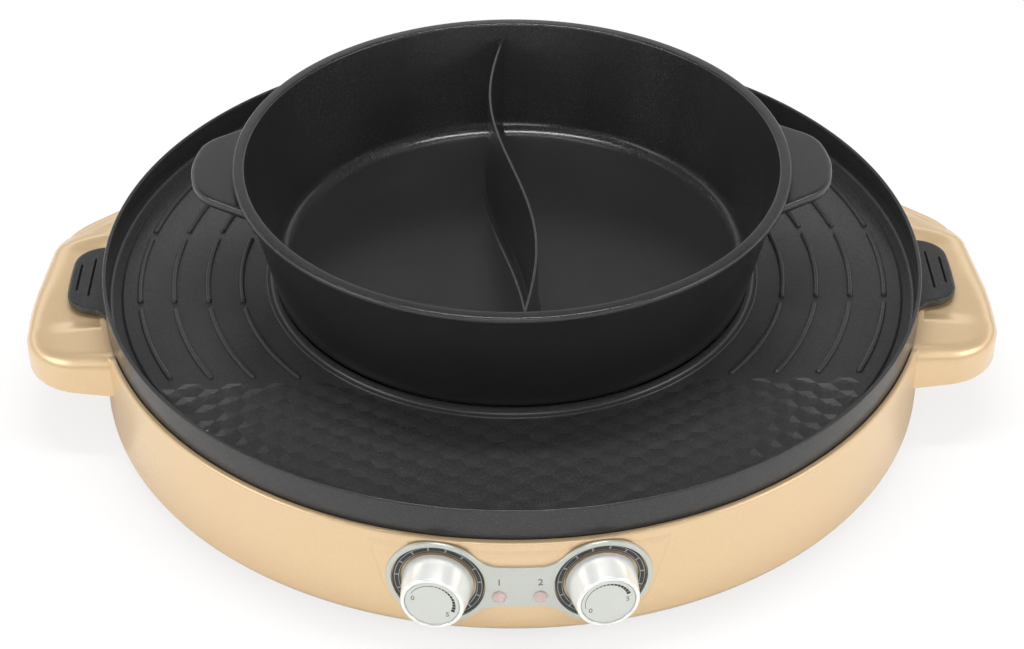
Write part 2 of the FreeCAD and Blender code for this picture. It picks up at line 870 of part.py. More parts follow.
pieces = {
    "base_housing": base_housing(),
    "control_fascia": control_fascia(),
    "dial_plate": dial_plate(),
    "dial_rings": pair(dial_ring(), dial_angle, dial_height),
    "hotpot_knob": outward(knob(), -dial_angle, dial_height),
    "grill_knob": outward(knob(), dial_angle, dial_height),
    "hotpot_knob_cap": outward(knob_cap(), -dial_angle, dial_height),
    "grill_knob_cap": outward(knob_cap(), dial_angle, dial_height),
    "hotpot_shaft": outward(shaft(), -dial_angle, dial_height),
    "grill_shaft": outward(shaft(), dial_angle, dial_height),
    "hotpot_thermostat": outward(thermostat(), -dial_angle, dial_height),
    "grill_thermostat": outward(thermostat(), dial_angle, dial_height),
    "hotpot_lamp_lens": outward(lamp_lens(), -lamp_angle, lamp_height),
    "grill_lamp_lens": outward(lamp_lens(), lamp_angle, lamp_height),
    "lamp_holders": pair(lamp_holder(), lamp_angle, lamp_height),
    "power_inlet": power_inlet(),
    "inlet_pins": inlet_pins(),
    "grill_pan": grill_pan(),
    "hot_pot": hot_pot(),
    "pot_divider": pot_divider(),
    "hotplate": hotplate(),
    "hotplate_terminals": hotplate_terminals(),
    "hotplate_pillars": hotplate_pillars(),
    "grill_heater": grill_heater(),
    "heater_clips": heater_clips(),
    "reflector_plate": reflector_plate(),
    "bottom_cover": bottom_cover(),
    "rubber_feet": rubber_feet(),
}

os.makedirs("parts", exist_ok=True)
for name, shape in pieces.items():
    shape.exportStep("parts/" + name + ".step")
    print(name, len(shape.Solids), shape.isValid(), round(shape.Volume))
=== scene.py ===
import math

import bmesh
import bpy
import numpy as np
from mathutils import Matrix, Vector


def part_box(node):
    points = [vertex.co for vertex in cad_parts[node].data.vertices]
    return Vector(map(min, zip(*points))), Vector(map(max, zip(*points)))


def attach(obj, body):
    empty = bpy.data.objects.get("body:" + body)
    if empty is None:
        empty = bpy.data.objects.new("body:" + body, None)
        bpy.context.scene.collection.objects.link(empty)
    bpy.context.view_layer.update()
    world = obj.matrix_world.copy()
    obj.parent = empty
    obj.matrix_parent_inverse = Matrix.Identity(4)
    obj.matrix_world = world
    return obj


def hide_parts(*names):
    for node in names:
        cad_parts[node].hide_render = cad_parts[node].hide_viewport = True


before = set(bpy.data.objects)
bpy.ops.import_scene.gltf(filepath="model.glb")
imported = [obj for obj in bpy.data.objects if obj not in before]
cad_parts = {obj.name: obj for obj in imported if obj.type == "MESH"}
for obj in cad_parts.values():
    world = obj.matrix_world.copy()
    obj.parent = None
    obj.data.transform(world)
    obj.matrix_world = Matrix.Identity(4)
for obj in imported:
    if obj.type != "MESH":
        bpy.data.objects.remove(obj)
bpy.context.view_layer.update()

# The camera stands in front of the cooker, about a metre and a fifth away, and looks down on it at the
# photograph's angle. Its turn is the cooker's own slight turn in the photograph.
camera_target = np.array([0.0, 0.0, 0.0256])
camera_distance = 1.21109
camera_rise = math.radians(36.296)
camera_turn = math.radians(-0.95)
camera_data = bpy.data.cameras.new("camera")
camera_data.lens = 82.31
camera_data.sensor_width = 36.0
camera = bpy.data.objects.new("camera", camera_data)
camera.location = camera_target + camera_distance * np.array([
    math.sin(camera_turn) * math.cos(camera_rise),
    -math.cos(camera_turn) * math.cos(camera_rise),
    math.sin(camera_rise)])
camera.rotation_euler = (math.pi / 2 - camera_rise, 0.0, camera_turn)
bpy.context.scene.collection.objects.link(camera)
bpy.context.scene.camera = camera
bpy.context.scene.view_settings.view_transform = "Standard"

# The studio is a pale floor in a white room, with a soft box overhead, one on each side and a weak one
# at the front. The room is white to the camera and lights the object more softly. What reflects in the
# object is a bright band above the horizon under a dark ceiling, as round a photographer's table.
world = bpy.data.worlds.new("white_room")
bpy.context.scene.world = world
world.use_nodes = True
nodes, links = world.node_tree.nodes, world.node_tree.links
nodes.clear()
room_paths = nodes.new("ShaderNodeLightPath")


def maths(operation, first, second):
    """Math node of the open node tree on two values or sockets."""
    node = nodes.new("ShaderNodeMath")
    node.operation = operation
    for socket, value in zip(node.inputs, (first, second)):
        if isinstance(value, (int, float)):
            socket.default_value = value
        else:
            links.new(value, socket)
    return node.outputs[0]


room_in_view = maths("MAXIMUM", room_paths.outputs["Is Camera Ray"],
                     room_paths.outputs["Is Transmission Ray"])
room_light = nodes.new("ShaderNodeBackground")
room_light.inputs["Strength"].default_value = 0.6
room_seen = nodes.new("ShaderNodeBackground")
room_seen.inputs["Strength"].default_value = 1.0
for background in (room_light, room_seen):
    background.inputs["Color"].default_value = (1.0, 1.0, 1.0, 1.0)
room_mix = nodes.new("ShaderNodeMixShader")
links.new(room_in_view, room_mix.inputs["Fac"])
links.new(room_light.outputs[0], room_mix.inputs[1])
links.new(room_seen.outputs[0], room_mix.inputs[2])
room_spot = nodes.new("ShaderNodeTexCoord")
room_height = nodes.new("ShaderNodeSeparateXYZ")
links.new(room_spot.outputs["Generated"], room_height.inputs[0])
room_bands = nodes.new("ShaderNodeValToRGB")
links.new(room_height.outputs["Z"], room_bands.inputs["Fac"])
bands = room_bands.color_ramp.elements
bands[0].position, bands[1].position = 0.20, 0.62
bands.new(0.28)
bands.new(0.47)
bands.new(0.55)
for band, level in zip(bands, (0.28, 1.0, 1.0, 0.12, 0.08)):
    band.color = (level, level, level, 1.0)
room_mirrored = nodes.new("ShaderNodeBackground")
room_mirrored.inputs["Strength"].default_value = 1.2
links.new(room_bands.outputs["Color"], room_mirrored.inputs["Color"])
room_choice = nodes.new("ShaderNodeMixShader")
links.new(room_paths.outputs["Is Glossy Ray"], room_choice.inputs["Fac"])
links.new(room_mix.outputs[0], room_choice.inputs[1])
links.new(room_mirrored.outputs[0], room_choice.inputs[2])
room_output = nodes.new("ShaderNodeOutputWorld")
links.new(room_choice.outputs[0], room_output.inputs["Surface"])

for name, place, turn, size, power in (
        ("softbox_overhead", (0.0, 0.10, 1.50), (-0.06, 0.0, 0.0), (0.95, 0.13), 11.0),
        ("softbox_left", (-1.40, -0.60, 0.90), (0.0, -1.05, 0.25), (0.50, 0.90), 5.0),
        ("softbox_right", (1.40, -0.60, 0.90), (0.0, 1.05, -0.25), (0.50, 0.90), 5.0),
        ("softbox_front", (0.0, -1.90, 1.30), (0.95, 0.0, 0.0), (1.10, 0.24), 6.0)):
    lamp_data = bpy.data.lights.new(name, "AREA")
    lamp_data.shape = "RECTANGLE"
    lamp_data.size, lamp_data.size_y = size
    lamp_data.energy = power
    lamp = bpy.data.objects.new(name, lamp_data)
    lamp.location = place
    lamp.rotation_euler = turn
    bpy.context.scene.collection.objects.link(lamp)

floor_reach = 3.0
floor_mesh = bpy.data.meshes.new("floor")
floor_mesh.from_pydata([(-floor_reach, -floor_reach, 0.0), (floor_reach, -floor_reach, 0.0),
                        (floor_reach, floor_reach, 0.0), (-floor_reach, floor_reach, 0.0)],
                       [], [(0, 1, 2, 3)])
floor = bpy.data.objects.new("floor", floor_mesh)
bpy.context.scene.collection.objects.link(floor)
floor_paint = bpy.data.materials.new("floor_paint")
floor_paint.use_nodes = True
nodes, links = floor_paint.node_tree.nodes, floor_paint.node_tree.links
nodes.clear()
floor_matte = nodes.new("ShaderNodeBsdfDiffuse")
floor_matte.inputs["Color"].default_value = (0.90, 0.90, 0.90, 1.0)
floor_glow = nodes.new("ShaderNodeEmission")
floor_glow.inputs["Strength"].default_value = 1.0
floor_paths = nodes.new("ShaderNodeLightPath")
floor_glow_share = 0.75
floor_mix = nodes.new("ShaderNodeMixShader")
links.new(maths("MULTIPLY", floor_paths.outputs["Is Camera Ray"], floor_glow_share), floor_mix.inputs["Fac"])
links.new(floor_matte.outputs[0], floor_mix.inputs[1])
links.new(floor_glow.outputs[0], floor_mix.inputs[2])
floor_output = nodes.new("ShaderNodeOutputMaterial")
links.new(floor_mix.outputs[0], floor_output.inputs["Surface"])
floor_mesh.materials.append(floor_paint)

# Rubber feet: four round moulded pads, each with a softened lower edge, pressed into the bottom cover.
# They carry the cooker on the table.
mm = 0.001


def grid_faces(rows, columns, close_rows=False, close_columns=False):
    """Four-sided faces between neighbouring points of a grid that is stored row by row."""
    row, column = np.meshgrid(np.arange(rows if close_rows else rows - 1),
                              np.arange(columns if close_columns else columns - 1), indexing="ij")
    next_row, next_column = (row + 1) % rows, (column + 1) % columns
    corners = np.stack([row * columns + column, row * columns + next_column,
                        next_row * columns + next_column, next_row * columns + column], axis=-1)
    return corners.reshape(-1, 4)


def rounded_line(corners, closed=True, steps=6):
    """Line through corners (a, b, radius): each corner with a radius becomes an arc touching both sides."""
    points = []
    count = len(corners)
    for i, (a, b, radius) in enumerate(corners):
        here = np.array([a, b], float)
        if radius == 0.0 or (not closed and i in (0, count - 1)):
            points.append(here[None])
            continue
        before = np.array(corners[i - 1][:2], float) - here
        after = np.array(corners[(i + 1) % count][:2], float) - here
        before /= np.linalg.norm(before)
        after /= np.linalg.norm(after)
        half = math.acos(np.clip(before @ after, -1.0, 1.0)) / 2
        middle = (before + after) / np.linalg.norm(before + after)
        centre = here + middle * radius / math.sin(half)
        start = here + before * radius / math.tan(half) - centre
        stop = here + after * radius / math.tan(half) - centre
        first = math.atan2(start[1], start[0])
        sweep = (math.atan2(stop[1], stop[0]) - first + math.pi) % (2 * math.pi) - math.pi
        angle = first + sweep * np.linspace(0.0, 1.0, steps + 1)
        points.append(centre + radius * np.stack([np.cos(angle), np.sin(angle)], axis=-1))
    return np.concatenate(points)


def turned_form(profile, turns):
    """Profile points (a, b) turned about the Z axis: each becomes a ring (a cos t, a sin t, b). With the
    faces between the rings."""
    angle = np.arange(turns) * 2 * np.pi / turns
    reach, level = profile[:, :1], profile[:, 1:]
    points = np.stack([reach * np.cos(angle), reach * np.sin(angle), level + np.zeros_like(angle)], axis=-1)
    return points.reshape(-1, 3), grid_faces(len(profile), turns, True, True)


def add_piece(name, points, faces, finish, body, slot, closed=True, smooth=35.0):
    """Mesh object from points in millimetres, with doubles merged, faces outwards and gentle edges smooth."""
    mesh = bpy.data.meshes.new(name)
    mesh.from_pydata((np.asarray(points) * mm).tolist(), [], [list(face) for face in faces])
    work = bmesh.new()
    work.from_mesh(mesh)
    bmesh.ops.remove_doubles(work, verts=work.verts, dist=0.002 * mm)
    bmesh.ops.dissolve_degenerate(work, edges=work.edges, dist=0.001 * mm)
    if closed:
        bmesh.ops.recalc_face_normals(work, faces=work.faces)
    work.to_mesh(mesh)
    work.free()
    mesh.materials.append(finish)
    if smooth:
        mesh.shade_smooth()
        mesh.set_sharp_from_angle(angle=math.radians(smooth))
    piece = bpy.data.objects.new(name, mesh)
    bpy.context.scene.collection.objects.link(piece)
    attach(piece, body)
    return piece


def repeated(points, faces, shifts):
    """The same grid at several places: its points moved by each shift, its faces numbered on."""
    shifts = np.asarray(shifts, float)
    all_points = (points[None] + shifts[:, None]).reshape(-1, 3)
    all_faces = faces[None] + (np.arange(len(shifts)) * len(points))[:, None, None]
    return all_points, all_faces.reshape(-1, faces.shape[1])


def linear(red, green, blue):
    """Colour of a paint chart, 0 to 255, as the light that it gives back."""
    share = np.array([red, green, blue]) / 255.0
    light = np.where(share <= 0.04045, share / 12.92, ((share + 0.055) / 1.055) ** 2.4)
    return (*light.tolist(), 1.0)


fine_texture = bpy.data.node_groups.new("fine_texture", "ShaderNodeTree")
for name, kind, value in (("Color", "NodeSocketColor", None), ("Cloud Size", "NodeSocketFloat", 60.0),
                          ("Cloud Share", "NodeSocketFloat", 0.05), ("Speck Size", "NodeSocketFloat", 1800.0),
                          ("Speck Share", "NodeSocketFloat", 0.2), ("Roughness", "NodeSocketFloat", 0.4),
                          ("Roughness Share", "NodeSocketFloat", 0.15)):
    socket = fine_texture.interface.new_socket(name, in_out="INPUT", socket_type=kind)
    if value is not None:
        socket.default_value = value
for name, kind in (("Color", "NodeSocketColor"), ("Roughness", "NodeSocketFloat"),
                   ("Height", "NodeSocketFloat")):
    fine_texture.interface.new_socket(name, in_out="OUTPUT", socket_type=kind)
nodes, links = fine_texture.nodes, fine_texture.links
given, result = nodes.new("NodeGroupInput"), nodes.new("NodeGroupOutput")
spot = nodes.new("ShaderNodeTexCoord")
cloud = nodes.new("ShaderNodeTexNoise")
cloud.inputs["Detail"].default_value = 3.0
links.new(spot.outputs["Object"], cloud.inputs["Vector"])
links.new(given.outputs["Cloud Size"], cloud.inputs["Scale"])
speck = nodes.new("ShaderNodeTexVoronoi")
links.new(spot.outputs["Object"], speck.inputs["Vector"])
links.new(given.outputs["Speck Size"], speck.inputs["Scale"])
speck_value = nodes.new("ShaderNodeSeparateColor")
links.new(speck.outputs["Color"], speck_value.inputs["Color"])

cloud_swing = maths("SUBTRACT", cloud.outputs["Fac"], 0.5)
speck_peak = maths("POWER", speck_value.outputs["Red"], 8.0)
lift = maths("ADD", maths("MULTIPLY", cloud_swing, given.outputs["Cloud Share"]),
             maths("MULTIPLY", speck_peak, given.outputs["Speck Share"]))
tint = nodes.new("ShaderNodeVectorMath")
tint.operation = "SCALE"
links.new(given.outputs["Color"], tint.inputs[0])
links.new(maths("ADD", lift, 1.0), tint.inputs["Scale"])
links.new(tint.outputs[0], result.inputs["Color"])
rough_swing = maths("MULTIPLY", cloud_swing, given.outputs["Roughness Share"])
links.new(maths("ADD", given.outputs["Roughness"], rough_swing), result.inputs["Roughness"])
links.new(speck_value.outputs["Green"], result.inputs["Height"])


def new_finish(name, color, roughness, metallic=0.0, cloud_size=60.0, cloud_share=0.06, speck_size=1800.0,
               speck_share=0.1, roughness_share=0.15, relief=0.02, **values):
    """Material with the fine texture on colour, roughness and relief, and plain values on the shader."""
    finish = bpy.data.materials.new(name)
    finish.use_nodes = True
    tree = finish.node_tree
    shader = tree.nodes["Principled BSDF"]
    texture = tree.nodes.new("ShaderNodeGroup")
    texture.node_tree = fine_texture
    for socket, value in (("Color", color), ("Cloud Size", cloud_size), ("Cloud Share", cloud_share),
                          ("Speck Size", speck_size), ("Speck Share", speck_share),
                          ("Roughness", roughness), ("Roughness Share", roughness_share)):
        texture.inputs[socket].default_value = value
    bump = tree.nodes.new("ShaderNodeBump")
    bump.inputs["Distance"].default_value = relief * mm
    tree.links.new(texture.outputs["Color"], shader.inputs["Base Color"])
    tree.links.new(texture.outputs["Roughness"], shader.inputs["Roughness"])
    tree.links.new(texture.outputs["Height"], bump.inputs["Height"])
    tree.links.new(bump.outputs["Normal"], shader.inputs["Normal"])
    shader.inputs["Metallic"].default_value = metallic
    for socket, value in values.items():
        shader.inputs[socket.replace("_", " ").title().replace("Ior", "IOR")].default_value = value
    return finish


foot_rubber = new_finish("foot_rubber", linear(38, 38, 38), 0.75, speck_share=0.3, relief=0.05)
foot_high = np.array(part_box("rubber_feet")[1]) / mm
foot_radius = 11.0
foot_draft = 0.6
foot_turns = 48
foot_place = foot_high[0] - foot_radius
foot_profile = rounded_line([(0.0, 0.0, 0.0), (foot_radius - foot_draft, 0.0, 1.6),
                             (foot_radius, foot_high[2], 0.0), (0.0, foot_high[2], 0.0)])
foot_places = [(x, y, 0.0) for x in (-foot_place, foot_place) for y in (-foot_place, foot_place)]
feet = add_piece("feet", *repeated(*turned_form(foot_profile, foot_turns), foot_places), foot_rubber,
                 "cooker_base", "foot_rubber")
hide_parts("rubber_feet")

# Bottom cover and the works inside: sheet steel, cast aluminium, moulded holders and brass pins. They keep
# their solids and get finishes of their own; six screws hold the cover to posts in the housing.
zinc_steel = new_finish("zinc_steel", linear(188, 188, 184), 0.38, metallic=0.9, speck_share=0.05)
bright_steel = new_finish("bright_steel", linear(204, 204, 202), 0.24, metallic=1.0, cloud_size=25.0,
                          speck_share=0.03, relief=0.01)
heated_steel = new_finish("heated_steel", linear(92, 84, 78), 0.42, metallic=0.9, cloud_size=90.0,
                          cloud_share=0.5, relief=0.03)
cast_metal = new_finish("cast_metal", linear(168, 168, 165), 0.45, metallic=0.9, speck_share=0.15,
                        relief=0.05)
black_plastic = new_finish("black_plastic", linear(34, 34, 35), 0.55, speck_share=0.25, relief=0.04)
white_plastic = new_finish("white_plastic", linear(226, 226, 220), 0.5, speck_share=0.03)
pin_brass = new_finish("pin_brass", linear(206, 168, 96), 0.3, metallic=1.0)
for node, finish in (("bottom_cover", zinc_steel), ("reflector_plate", bright_steel),
                     ("hotplate", cast_metal), ("hotplate_terminals", heated_steel),
                     ("hotplate_pillars", zinc_steel), ("grill_heater", heated_steel),
                     ("heater_clips", zinc_steel), ("hotpot_shaft", zinc_steel), ("grill_shaft", zinc_steel),
                     ("hotpot_thermostat", black_plastic), ("grill_thermostat", black_plastic),
                     ("lamp_holders", white_plastic), ("power_inlet", black_plastic),
                     ("inlet_pins", pin_brass)):
    for material_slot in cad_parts[node].material_slots:
        material_slot.material = finish

cover_low, cover_high = (np.array(corner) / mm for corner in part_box("bottom_cover"))
cover_level = cover_low[2]
post_angles = np.radians([20.0, 65.0, 115.0, 160.0, 235.0, 305.0])
post_circle = 197.0
post_places = np.stack([post_circle * np.cos(post_angles), post_circle * np.sin(post_angles),
                        np.zeros(6)], axis=-1)
screw_radius = 3.4
screw_turns = 24
screw_crown = cover_level - 1.9
recess_floor = cover_level - 0.9
screw_profile = rounded_line([(0.0, cover_level, 0.0), (screw_radius, cover_level, 0.0),
                              (screw_radius, recess_floor, 0.5), (screw_radius - 1.0, screw_crown, 0.4),
                              (1.3, screw_crown, 0.0), (0.9, recess_floor, 0.0),
                              (0.0, recess_floor, 0.0)], steps=3)
add_piece("cover_screw_heads", *repeated(*turned_form(screw_profile, screw_turns), post_places), zinc_steel,
          "cooker_base", "zinc_steel")

# Base housing: a moulded ring in pearl champagne plastic with a softly rounded rim, a ledge that the pan sits
# on, a notch for each pan ear, and two lug handles moulded on, hollow underneath for the fingers.
champagne = new_finish("champagne", linear(228, 198, 156), 0.30, metallic=0.45, cloud_size=8.0,
                       cloud_share=0.03, speck_size=3500.0, speck_share=0.12, relief=0.006,
                       coat_weight=0.35, coat_roughness=0.12)
housing_high = np.array(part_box("base_housing")[1]) / mm
pan_low, pan_high = (np.array(corner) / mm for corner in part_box("grill_pan"))
pan_radius = pan_high[1]
rim_level = housing_high[2]
housing_inside = pan_radius + 0.3
housing_radius = housing_inside + 2.7
pan_seat = rim_level - 3.5
notch_level = pan_low[2] - 0.3
notch_half = 33.0
ring_profile = rounded_line([
    (housing_radius - 6.5, cover_level, 0.0), (housing_radius, cover_level, 5.0),
    (housing_radius, rim_level, 1.5), (housing_inside, rim_level, 0.3), (housing_inside, pan_seat, 0.0),
    (housing_inside - 5.0, pan_seat, 0.3), (housing_inside, pan_seat - 6.0, 0.0),
    (housing_inside, cover_level + 6.5, 0.0)], steps=8)
notch_turn = math.asin(notch_half / housing_radius)
edge_turns = [side + sign * notch_turn + nudge for side in (0.0, math.pi) for sign in (-1, 1)
              for nudge in (-1e-4, 1e-4)]
ring_turns = np.unique(np.concatenate([np.linspace(-np.pi, np.pi, 361)[:-1],
                                       (np.array(edge_turns) + np.pi) % (2 * np.pi) - np.pi]))
from_side = np.abs(np.sin(ring_turns)) * housing_radius
lug_root_stop, rim_start = 66.0, 72.0
rim_limit = np.interp(from_side, [notch_half - 0.01, notch_half + 0.01, lug_root_stop, rim_start],
                      [notch_level, pan_seat + 0.1, pan_seat + 0.1, rim_level])
ring_reach, ring_level = ring_profile[:, :1], ring_profile[:, 1:]
ring_points = np.stack([ring_reach * np.cos(ring_turns), ring_reach * np.sin(ring_turns),
                        np.minimum(ring_level, rim_limit)], axis=-1)
housing = add_piece("housing_ring", ring_points.reshape(-1, 3),
                    grid_faces(len(ring_profile), len(ring_turns), True, True), champagne,
                    "cooker_base", "gold_plastic")
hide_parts("base_housing")

post_radius = 5.0
post_hole = 1.6
post_top = 47.0
post_turns = 32
post_profile = rounded_line([(post_radius, cover_high[2], 0.0), (post_radius, post_top, 0.4),
                             (post_hole, post_top, 0.0), (post_hole, cover_high[2], 0.0)])
add_piece("screw_posts", *repeated(*turned_form(post_profile, post_turns), post_places), champagne,
          "cooker_base", "gold_plastic")


def along_line(corners, count):
    """Open rounded line at even steps, with the outward direction on its right at each point."""
    line = rounded_line(corners, closed=False, steps=24)
    length = np.concatenate([[0.0], np.cumsum(np.linalg.norm(np.diff(line, axis=0), axis=1))])
    step = np.linspace(0.0, length[-1], count)
    even = np.stack([np.interp(step, length, line[:, k]) for k in (0, 1)], axis=-1)
    along = np.gradient(even, axis=0)
    along /= np.linalg.norm(along, axis=1, keepdims=True)
    return even, np.stack([along[:, 1], -along[:, 0]], axis=-1)


def shelf_grid(outline, outward, section, root_radius):
    """Shelf on a round wall: rows drawn in from the outline by section[k, :, 0], at height section[k, :, 1],
    between a first and a last row that run straight back along X to the wall."""
    rows = outline[None] - outward[None] * section[:, :, :1]
    reach = np.linalg.norm(rows, axis=-1, keepdims=True)
    rows = np.where(reach < root_radius, rows * root_radius / reach, rows)
    roots = rows[[0, -1]].copy()
    roots[..., 0] = np.sqrt(root_radius ** 2 - np.minimum(roots[..., 1] ** 2, (0.9 * root_radius) ** 2))
    plan_rows = np.concatenate([roots[:1], rows, roots[1:]])
    levels = np.concatenate([section[:1, :, 1], section[:, :, 1], section[-1:, :, 1]])
    return np.concatenate([plan_rows, levels[..., None]], axis=-1)


def capped_faces(rows, columns):
    """Faces of a grid whose rows close round, with one flat face at each end."""
    first = np.arange(rows) * columns
    faces = grid_faces(rows, columns, close_rows=True).tolist()
    return faces + [first.tolist(), (first[::-1] + columns - 1).tolist()]


def both_sides(grid):
    """A grid on the right and its mirror image on the left, as points and closed faces with end caps."""
    faces = capped_faces(*grid.shape[:2])
    right = grid.reshape(-1, 3)
    left = right * np.array([-1.0, 1.0, 1.0])
    return [(right, faces), (left, [face[::-1] for face in faces])]


def eased(value, start, stop):
    """Smooth step from 0 at start to 1 at stop: 3 t squared less 2 t cubed."""
    share = np.clip((value - start) / (stop - start), 0.0, 1.0)
    return share ** 2 * (3 - 2 * share)


lug_tip = housing_high[0]
lug_top = rim_level - 7.0
lug_low = lug_top - 19.0
lug_line, lug_out = along_line([(housing_radius - 20.0, -69.5, 0.0), (lug_tip - 2.3, -61.0, 32.0),
                                (lug_tip, -8.0, 250.0), (lug_tip - 6.0, 56.0, 42.0),
                                (housing_radius - 36.0, 110.5, 0.0)], 200)
backward = eased(lug_out[:, 1], -0.15, 0.75)
edge_width = 7.0 + 25.0 * backward
edge_drop = 6.0 + 4.5 * backward
arc = np.linspace(0.0, np.pi / 2, 11)[:, None]
flat = np.zeros_like(edge_width)
lug_section = [np.stack([flat + inset, flat + level], axis=-1)[None] for inset, level in (
    (8.0, lug_top - 3.5), (5.0, lug_top - 3.5), (4.0, lug_top - 4.0), (3.5, lug_top - 5.0),
    (3.5, lug_low + 0.6), (3.0, lug_low), (1.2, lug_low), (0.3, lug_low + 0.4), (0.0, lug_low + 1.4))]
lug_section.append(np.stack([edge_width * (1 - np.cos(arc)),
                             lug_top - edge_drop * (1 - np.sin(arc))], axis=-1))
lug_grid = shelf_grid(lug_line, lug_out, np.concatenate(lug_section), housing_inside + 1.3)
inward = np.linspace(0.0, 1.0, 16)[1:-1, None, None]
lug_grid = np.concatenate([lug_grid[:-1], lug_grid[-2] * (1 - inward) + lug_grid[-1] * inward,
                           lug_grid[-1:]])
lug_reach = np.hypot(lug_grid[..., 0], lug_grid[..., 1])
lug_rise = (eased(lug_reach, housing_radius + 30.0, housing_radius - 2.0)
            * eased(np.abs(lug_grid[..., 1]), notch_half - 3.0, notch_half + 9.0))
lug_grid[..., 2] += 3.5 * lug_rise * np.clip((lug_grid[..., 2] - lug_top + 6.0) / 6.0, 0.0, 1.0)
for side, (points, faces) in zip(("right", "left"), both_sides(lug_grid)):
    add_piece("lug_handle_" + side, points, faces, champagne, "cooker_base", "gold_plastic")

# Power inlet: a three-pin socket in black plastic, set in a flat boss on the back of the housing and held
# by two small screws beside it.
inlet_low, inlet_high = (np.array(corner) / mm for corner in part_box("power_inlet"))
inlet_height = (inlet_low[2] + inlet_high[2]) / 2
flange_back = inlet_high[1] - 2.4


def rounded_box_line(width, height, radius, count):
    """Closed rounded rectangle about the middle, at even steps."""
    corners = [(sx * width / 2, sz * height / 2, radius) for sx, sz in ((1, -1), (1, 1), (-1, 1), (-1, -1))]
    line = rounded_line(corners, steps=8)
    line = np.concatenate([line, line[:1]])
    length = np.concatenate([[0.0], np.cumsum(np.linalg.norm(np.diff(line, axis=0), axis=1))])
    step = np.linspace(0.0, length[-1], count + 1)[:-1]
    return np.stack([np.interp(step, length, line[:, k]) for k in (0, 1)], axis=-1)


mouth = (27.6, 20.2, 1.5)
flange = (46.0, 28.0, 5.0)
boss_steps = 128
boss_rows = []
for (width, height, radius), depth in (
        (mouth, housing_inside), (mouth, flange_back), ((44.4, 26.4, 4.0), flange_back),
        ((45.6, 27.6, 4.6), flange_back - 0.4), (flange, flange_back - 1.2), (flange, housing_inside)):
    line = rounded_box_line(width, height, radius, boss_steps)
    boss_rows.append(np.stack([line[:, 0], np.full(boss_steps, depth), inlet_height + line[:, 1]], axis=-1))
add_piece("inlet_boss", np.concatenate(boss_rows), grid_faces(len(boss_rows), boss_steps, True, True),
          champagne, "cooker_base", "gold_plastic")
inlet_screw = rounded_line([(0.0, 0.0, 0.0), (2.6, 0.0, 0.0), (2.6, 0.5, 0.3), (1.6, 1.2, 0.3),
                            (0.9, 1.2, 0.0), (0.6, 0.5, 0.0), (0.0, 0.5, 0.0)], steps=3)
screw_seat = inlet_high[1] - 1.2
screw_aside = 18.0
points, faces = turned_form(inlet_screw, screw_turns)
points, faces = repeated(points[:, [0, 2, 1]], faces, [(-screw_aside, screw_seat, inlet_height),
                                                       (screw_aside, screw_seat, inlet_height)])
add_piece("inlet_screw_heads", points, faces, zinc_steel, "cooker_base", "zinc_steel")

# Control panel: a gold front piece over the ring and, on it, a satin silver plate shaped like two discs
# and a waist. Each dial has a black tick ring set in the plate's round opening.
satin_silver = new_finish("satin_silver", linear(200, 203, 196), 0.36, metallic=0.55, cloud_share=0.02,
                          speck_size=3000.0, speck_share=0.04, relief=0.004)
ring_black = new_finish("ring_black", linear(44, 46, 48), 0.4, speck_share=0.1)
ring_grey = new_finish("ring_grey", linear(158, 160, 156), 0.35, metallic=0.4, speck_share=0.05)
dial_height = 35.5
dial_angle = math.radians(10.0)
dial_middle = 36.3


def dumbbell_reach(turn, end_radius, waist_half, blend):
    """Distance from a dial's middle to the outline of two discs with a waist, towards each turn: the disc,
    then the hollow arc, then the straight waist, then the middle plane between the dials."""
    turn = np.abs((turn + np.pi) % (2 * np.pi) - np.pi)
    rise = waist_half + blend
    run = end_radius + blend
    across = math.sqrt(run * run - rise * rise)
    toward = -across * np.cos(turn) + rise * np.sin(turn)
    arc_reach = toward - np.sqrt(np.maximum(toward ** 2 - run ** 2 + blend ** 2, 0.0))
    with np.errstate(divide="ignore"):
        waist_reach = waist_half / np.maximum(np.abs(np.sin(turn)), 1e-9)
        middle_reach = dial_middle / np.maximum(-np.cos(turn), 1e-9)
    touch = math.pi - math.atan2(rise, across)
    arc_end = math.pi - math.atan2(waist_half, across)
    reach = np.where(turn < touch, end_radius, np.where(turn < arc_end, arc_reach, waist_reach))
    return np.minimum(reach, middle_reach)


def dial_row(distance, turn, radius):
    """Row of points round one dial on the curved front, at a distance from the dial's middle and a radius
    from the cooker's axis."""
    x = dial_middle + distance * np.cos(turn)
    return np.stack([x, -np.sqrt(radius ** 2 - x ** 2), dial_height + distance * np.sin(turn)], axis=-1)


def panel_grid(reach, turn, edge_rows, out, face, inner_rows):
    """Rows round one dial: an edge of (step from the outline, radius), then seven even steps in over the
    face (distance, radius), then rows of (distance, radius). Edge rows end flush at the middle plane."""
    at_middle = reach * np.cos(turn) < -dial_middle + 1e-6
    rows = [dial_row(np.where(at_middle, reach, reach + step), turn, np.where(at_middle, out, radius))
            for step, radius in edge_rows]
    edge_reach = np.hypot(rows[-1][:, 0] - dial_middle, rows[-1][:, 2] - dial_height)
    rows += [dial_row(edge_reach * (1 - share) + face[0] * share, turn, face[1])
             for share in np.linspace(0.0, 1.0, 8)[1:]]
    return np.stack(rows + [dial_row(distance, turn, radius) for distance, radius in inner_rows])


def add_panel(name, grid, finish, slot):
    """Both halves of a panel piece: the right one and its mirror image, joined at the middle plane."""
    rows, columns = grid.shape[:2]
    faces = grid_faces(rows, columns, close_columns=True)
    right = grid.reshape(-1, 3)
    left = right * np.array([-1.0, 1.0, 1.0])
    return add_piece(name, np.concatenate([right, left]),
                     np.concatenate([faces[:, ::-1], faces + len(right)]), finish, "cooker_base", slot,
                     closed=False)


